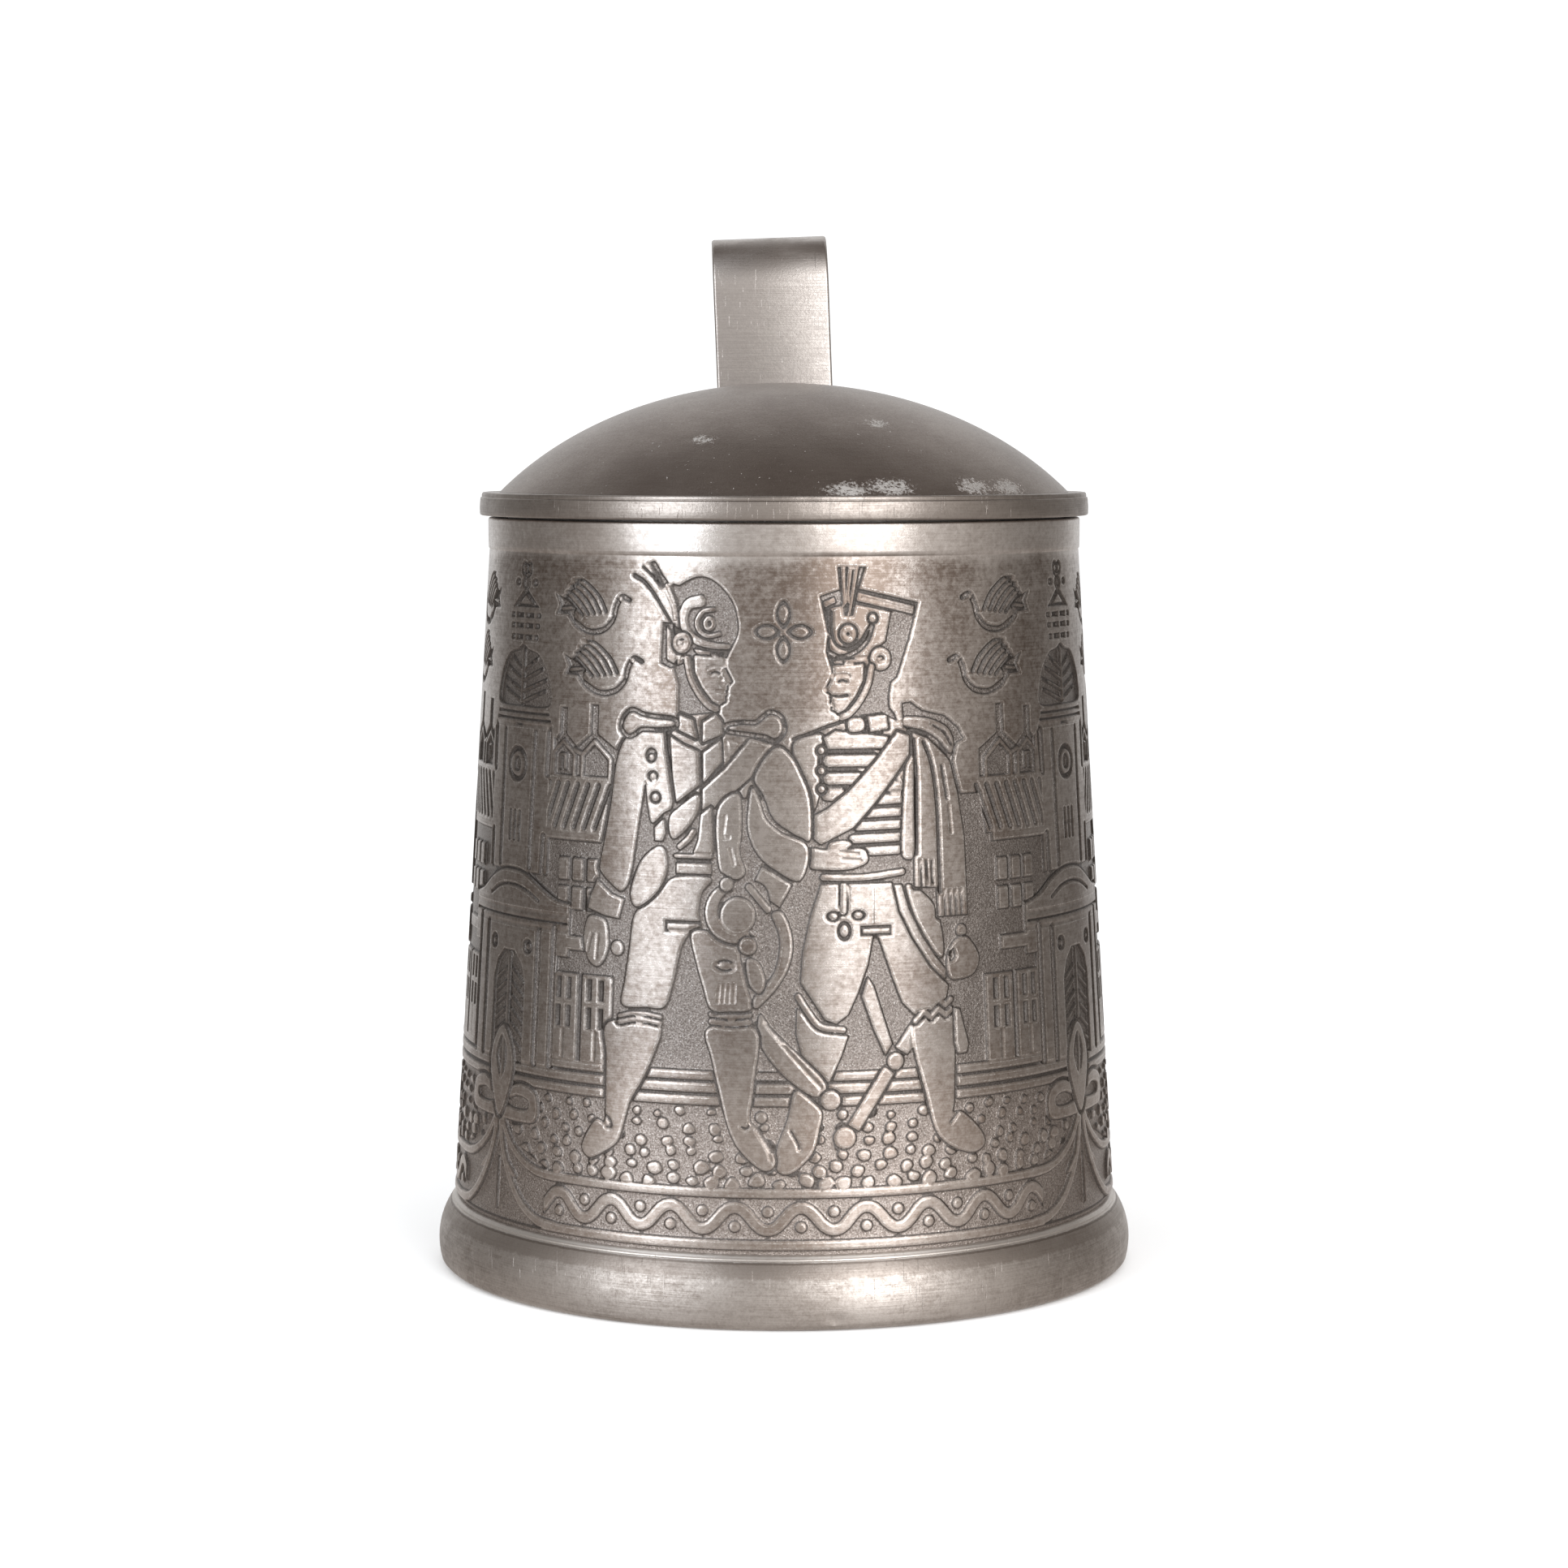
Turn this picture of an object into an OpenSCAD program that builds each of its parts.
// Lidded pewter tankard: a tapered drum on a turned foot, a strap handle at the back,
// and a domed lid that swings on a pin hinge at the top of the handle.
// Frame: millimetres, +Z up, origin at the centre of the base, handle and hinge at +Y.

/* [Drum] */
// Outer radius of the drum at the top of its straight taper
drum_r_top = 42.9; // [38:0.1:46]
// Outer radius of the drum at the bottom of its taper
drum_r_bottom = 48.7; // [47.5:0.1:52]
// Outer radius of the lip band at the rim
lip_r = 43.05; // [42.9:0.05:43.3]
// Height of the lip band
lip_h = 4.7; // [2:0.1:8]
// Height of the drum's rim above the ground
rim_z = 109; // [95:1:125]
// Thickness of the drum's wall
wall = 2; // [1.5:0.1:2.4]

/* [Foot] */
// Largest outer radius of the foot ring
foot_r = 51; // [50:0.1:54]
// Height of the foot ring
foot_h = 10; // [9:0.5:12]
// Radius of the foot's turned bulge
foot_bulge_r = 9.9; // [9:0.1:12]
// Height of the recess under the floor
base_recess = 6; // [5:0.5:7]
// Thickness of the soldered floor disc
floor_t = 2; // [1.5:0.1:2.5]

/* [Lid] */
// Outer radius of the lid's rim
rim_r = 44.3; // [44:0.1:45.5]
// Thickness of the lid's rim
rim_t = 3.3; // [2.5:0.1:4]
// Radius of the dome where it meets the rim
dome_r = 41.4; // [40.5:0.1:42]
// Height of the dome above the rim
dome_h = 15.8; // [10:0.1:20]
// Thickness of the dome's wall
dome_t = 1.8; // [1.2:0.1:2.2]
// Depth of the ring that locates the lid in the mouth
seat_depth = 3.5; // [2:0.5:5]

/* [Hinge] */
// Distance of the hinge pin behind the drum's axis
hinge_y = 50.8; // [50.5:0.1:53]
// Height of the hinge pin
hinge_z = 111; // [110.5:0.1:112]
// Radius of the hinge pin
pin_r = 1.6; // [1.2:0.1:2]
// Outer radius of the knuckles
knuckle_r = 4; // [3.5:0.1:4.5]
// Width of the lid's centre knuckle
knuckle_w = 8; // [6:0.5:9]

/* [Thumb lift] */
// Width of the thumb lift
lift_w = 18.2; // [14:0.1:20]
// Thickness of the thumb lift
lift_t = 2.4; // [1.8:0.1:3]
// Highest point of the thumb lift above the ground
lift_top = 152.4; // [146:0.1:158]
// Lean of the thumb lift to the left, in degrees
lift_lean = 2.2; // [0:0.1:3]

/* [Handle] */
// Width of the handle strap
strap_w = 18; // [14:0.5:22]
// Thickness of the handle strap
strap_t = 3.4; // [2.5:0.1:4]
// How far the handle reaches behind the drum's axis
handle_reach = 90; // [85:1:95]

/* [Hidden] */
$fn = 128;
// How far a cutting solid runs past the faces that it cuts
over = 1;

// Colours of the pewter's finishes
pewter = [0.56, 0.54, 0.52];
pewter_dark = [0.36, 0.34, 0.32];
pewter_bright = [0.68, 0.67, 0.65];

// Drum and foot
lip_z = rim_z - lip_h;
foot_edge_r = foot_r - foot_bulge_r;
foot_mid_z = 3.3;
foot_top_angle = asin((foot_h - foot_mid_z) / foot_bulge_r);
foot_low_angle = -15;
foot_notch_r = foot_edge_r + foot_bulge_r * cos(foot_top_angle);
foot_steps = 14;
notch_h = 1;
floor_slip = 0.2;
floor_r = drum_r_bottom - wall - floor_slip;
ledge_w = 1.8;
foot_sole_r = 46.8;
foot_chamfer = 1.4;
mouth_r = lip_r - wall;
mouth_edge = 0.3;
lip_edge = 0.4;
lip_taper = 0.05;
lip_step_h = 0.2;

// Lid: the dome is the crown of an ellipse of revolution
lid_gap = 0.3;
lid_z = rim_z + lid_gap;
rim_top = lid_z + rim_t;
rim_in = 37.8;
rim_edge = 0.4;
rim_bevel = 0.1;
rim_flare = 0.25;
dome_a = 52;
dome_b = dome_h / (1 - sqrt(1 - pow(dome_r / dome_a, 2)));
dome_steps = 16;
seat_clear = 0.75;
seat_r = mouth_r - seat_clear;
seat_t = 1.8;

// Hinge: the pin is pressed into the bracket and runs free in the lid's knuckle
pin_press = 0.01;
pin_run = 0.05;
knuckle_gap = 0.2;
bracket_side = 0.1;
bracket_w = strap_w + 2 * bracket_side;
bracket_base_t = 2.2;
pin_over = 0.6;
shank_low = 109.7;
shank_high = 112.4;
shank_bite = 2;
shank_crown = 0.2;
shank_shoulder = 0.6;

// Handle: the strap's centreline in the Y-Z plane, from the rim down to the lower joint
strap_drop = 0.6;
strap_z = lip_z - strap_drop - strap_t / 2;
strap_root_y = 40;
strap_flat_y = 55;
strap_low_z = 26;
bow_in = 21;
bow_drop = 34;
bow_ease = 0.4;
strap_low_in = 21;
strap_steps = 20;

// Thumb lift: the sheet's centreline in the Y-Z plane, forward over the dome and then straight up
lift_curl_r = 7.6;
lift_face_y = 46.8;
lift_bend_z = lift_top - lift_t / 2 - lift_curl_r;
lift_root_z = hinge_z + 2;
lift_out = 9;
lift_in = 5;
lift_straight = 16;
lift_wide_z = hinge_z + knuckle_r + 1.2;
lift_curl_end = 40;
lift_corner = 1.2;
lift_depth = 40;
lift_steps = 12;

function drum_r(z) =
    drum_r_bottom + (drum_r_top - drum_r_bottom) * (z - foot_h) / (lip_z - foot_h);

function dome_z(r, top) = top - dome_b * (1 - sqrt(1 - pow(r / dome_a, 2)));

function arc(centre, r, a0, a1, n) =
    [for (i = [0 : n]) let (a = a0 + (a1 - a0) * i / n) centre + r * [cos(a), sin(a)]];

function bezier(p, n) =
    [for (i = [0 : n]) let (t = i / n, s = 1 - t)
        s * s * s * p[0] + 3 * s * s * t * p[1] + 3 * s * t * t * p[2] + t * t * t * p[3]];

function heading(p, i) =
    let (d = p[min(i + 1, len(p) - 1)] - p[max(i - 1, 0)]) d / norm(d);

// One edge of a ribbon: the centreline moved sideways by d
function edge(p, d) =
    [for (i = [0 : len(p) - 1]) let (h = heading(p, i)) p[i] + d * [-h[1], h[0]]];

function reversed(p) = [for (i = [len(p) - 1 : -1 : 0]) p[i]];

// Extrudes a Y-Z outline along X, centred on the Y-Z plane
module along_x(w) {
    rotate([90, 0, 90])
        linear_extrude(height = w, center = true)
            children();
}

// A strap of width w and thickness t along a centreline in the Y-Z plane
module strap(p, w, t) {
    along_x(w)
        polygon(concat(edge(p, t / 2), reversed(edge(p, -t / 2))));
}

module x_cylinder(r, w) {
    rotate([0, 90, 0])
        cylinder(r = r, h = w, center = true);
}

// The drum's outer cone as a solid, used to seat the handle on it
module drum_blank() {
    rotate_extrude()
        polygon([
            [0, foot_h],
            [drum_r(foot_h), foot_h],
            [drum_r(lip_z), lip_z],
            [0, lip_z]
        ]);
}

module drum() {
    color(pewter)
        rotate_extrude()
            polygon([
                [drum_r_bottom - wall, foot_h],
                [foot_notch_r, foot_h],
                [drum_r(foot_h + notch_h), foot_h + notch_h],
                [drum_r(lip_z), lip_z],
                [lip_r - lip_taper, lip_z + lip_step_h],
                [lip_r, rim_z - lip_edge],
                [lip_r - lip_edge, rim_z],
                [mouth_r + mouth_edge, rim_z],
                [mouth_r, rim_z - mouth_edge],
                [drum_r_top - wall, lip_z]
            ]);
}

module floor_disc() {
    color(pewter)
        translate([0, 0, base_recess])
            cylinder(r = floor_r, h = floor_t);
}

module foot_ring() {
    color(pewter_bright)
        rotate_extrude()
            polygon(concat(
                arc([foot_edge_r, foot_mid_z], foot_bulge_r,
                    foot_top_angle, foot_low_angle, foot_steps),
                [
                    [foot_r - foot_chamfer, 0],
                    [foot_sole_r, 0],
                    [floor_r - ledge_w, foot_chamfer],
                    [floor_r - ledge_w, base_recess],
                    [floor_r, base_recess],
                    [floor_r, foot_h]
                ]
            ));
}

module handle_strap() {
    reach = handle_reach - strap_t / 2;
    bow = bezier([
        [strap_flat_y, strap_z],
        [strap_flat_y + bow_in, strap_z],
        [reach, strap_z - bow_drop * bow_ease],
        [reach, strap_z - bow_drop]
    ], strap_steps);
    low = bezier([
        [reach, strap_z - bow_drop],
        [reach, strap_low_z + strap_low_in],
        [drum_r(strap_low_z) + strap_low_in, strap_low_z],
        [drum_r(strap_low_z) - strap_t, strap_low_z]
    ], strap_steps);
    color(pewter)
        difference() {
            strap(concat(
                [[strap_root_y, strap_z]],
                bow,
                [for (i = [1 : len(low) - 1]) low[i]]
            ), strap_w, strap_t);
            drum_blank();
        }
}

module hinge_bracket() {
    base_z = strap_z + strap_t / 2;
    color(pewter)
        difference() {
            union() {
                translate([0, hinge_y, hinge_z])
                    x_cylinder(knuckle_r, bracket_w);
                translate([-bracket_w / 2, hinge_y - knuckle_r, base_z])
                    cube([bracket_w, 2 * knuckle_r, hinge_z - base_z]);
            }
            // slot for the lid's knuckle, deep enough for it to turn
            translate([
                -knuckle_w / 2 - knuckle_gap,
                hinge_y - knuckle_r - over,
                base_z + bracket_base_t
            ])
                cube([
                    knuckle_w + 2 * knuckle_gap,
                    2 * (knuckle_r + over),
                    hinge_z + knuckle_r - base_z
                ]);
            translate([0, hinge_y, hinge_z])
                x_cylinder(pin_r - pin_press, bracket_w + 2 * over);
        }
}

module hinge_pin() {
    color(pewter_bright)
        translate([0, hinge_y, hinge_z])
            x_cylinder(pin_r, bracket_w + 2 * pin_over);
}

// The rim's section, from an inner radius out to its edge
function rim_outline(inner_r) = [
    [inner_r, lid_z],
    [rim_r - rim_edge, lid_z],
    [rim_r - rim_bevel, lid_z + rim_edge],
    [rim_r, lid_z + rim_t / 3],
    [rim_r - rim_flare, rim_top - rim_edge],
    [rim_r - rim_flare - rim_edge, rim_top],
    [inner_r, rim_top]
];

module lid_rim() {
    color(pewter_bright)
        rotate_extrude()
            polygon(rim_outline(rim_in));
}

module lid_dome() {
    steps = [for (i = [0 : dome_steps]) sqrt(i / dome_steps)];
    inner_r = dome_r - 2 * dome_t;
    color(pewter_dark)
        rotate_extrude()
            polygon(concat(
                [for (s = steps) [dome_r * s, dome_z(dome_r * s, rim_top + dome_h)]],
                [[inner_r, rim_top]],
                [for (s = reversed(steps))
                    [inner_r * s, dome_z(inner_r * s, rim_top + dome_h - dome_t)]]
            ));
}

module lid_seat_ring() {
    color(pewter)
        rotate_extrude()
            polygon([
                [seat_r - seat_t, lid_z - seat_depth],
                [seat_r - rim_edge, lid_z - seat_depth],
                [seat_r, lid_z - seat_depth + rim_edge],
                [seat_r, lid_z],
                [seat_r - seat_t, lid_z]
            ]);
}

module lid_shank() {
    color(pewter)
        difference() {
            union() {
                translate([0, hinge_y, hinge_z])
                    x_cylinder(knuckle_r, knuckle_w);
                along_x(knuckle_w)
                    polygon([
                        [rim_r - shank_bite, shank_low],
                        [hinge_y, shank_low],
                        [hinge_y, hinge_z + knuckle_r - shank_crown],
                        [hinge_y - knuckle_r / 2, hinge_z + knuckle_r - shank_shoulder],
                        [rim_r - shank_bite, shank_high]
                    ]);
            }
            // seat on the rim's outside
            rotate_extrude()
                polygon(rim_outline(0));
            translate([0, hinge_y, hinge_z])
                x_cylinder(pin_r + pin_run, knuckle_w + 2 * over);
        }
}

// The lift seen from the front: a neck over the knuckle, then the full width
module lift_front() {
    half = lift_w / 2;
    neck = knuckle_w / 2;
    rotate([90, 0, 0])
        linear_extrude(height = lift_depth, center = true)
            polygon([
                [-neck, lift_root_z],
                [neck, lift_root_z],
                [neck, lift_wide_z],
                [half, lift_wide_z],
                [half, lift_top - lift_corner],
                [half - lift_corner, lift_top],
                [lift_corner - half, lift_top],
                [-half, lift_top - lift_corner],
                [-half, lift_wide_z],
                [-neck, lift_wide_z]
            ]);
}

module thumb_lift() {
    rise = bezier([
        [hinge_y, lift_root_z],
        [hinge_y, lift_root_z + lift_out],
        [lift_face_y, lift_root_z + lift_in],
        [lift_face_y, lift_root_z + lift_straight]
    ], lift_steps);
    curl = arc([lift_face_y + lift_curl_r, lift_bend_z], lift_curl_r,
        180, lift_curl_end, lift_steps);
    color(pewter)
        difference() {
            translate([0, 0, hinge_z])
                rotate([0, -lift_lean, 0])
                    translate([0, 0, -hinge_z])
                        intersection() {
                            strap(concat(rise, curl), lift_w, lift_t);
                            translate([0, hinge_y, 0])
                                lift_front();
                        }
            translate([0, hinge_y, hinge_z])
                x_cylinder(knuckle_r, knuckle_w + 2 * over);
        }
}

drum();
floor_disc();
foot_ring();
handle_strap();
hinge_bracket();
hinge_pin();
lid_rim();
lid_dome();
lid_seat_ring();
lid_shank();
thumb_lift();
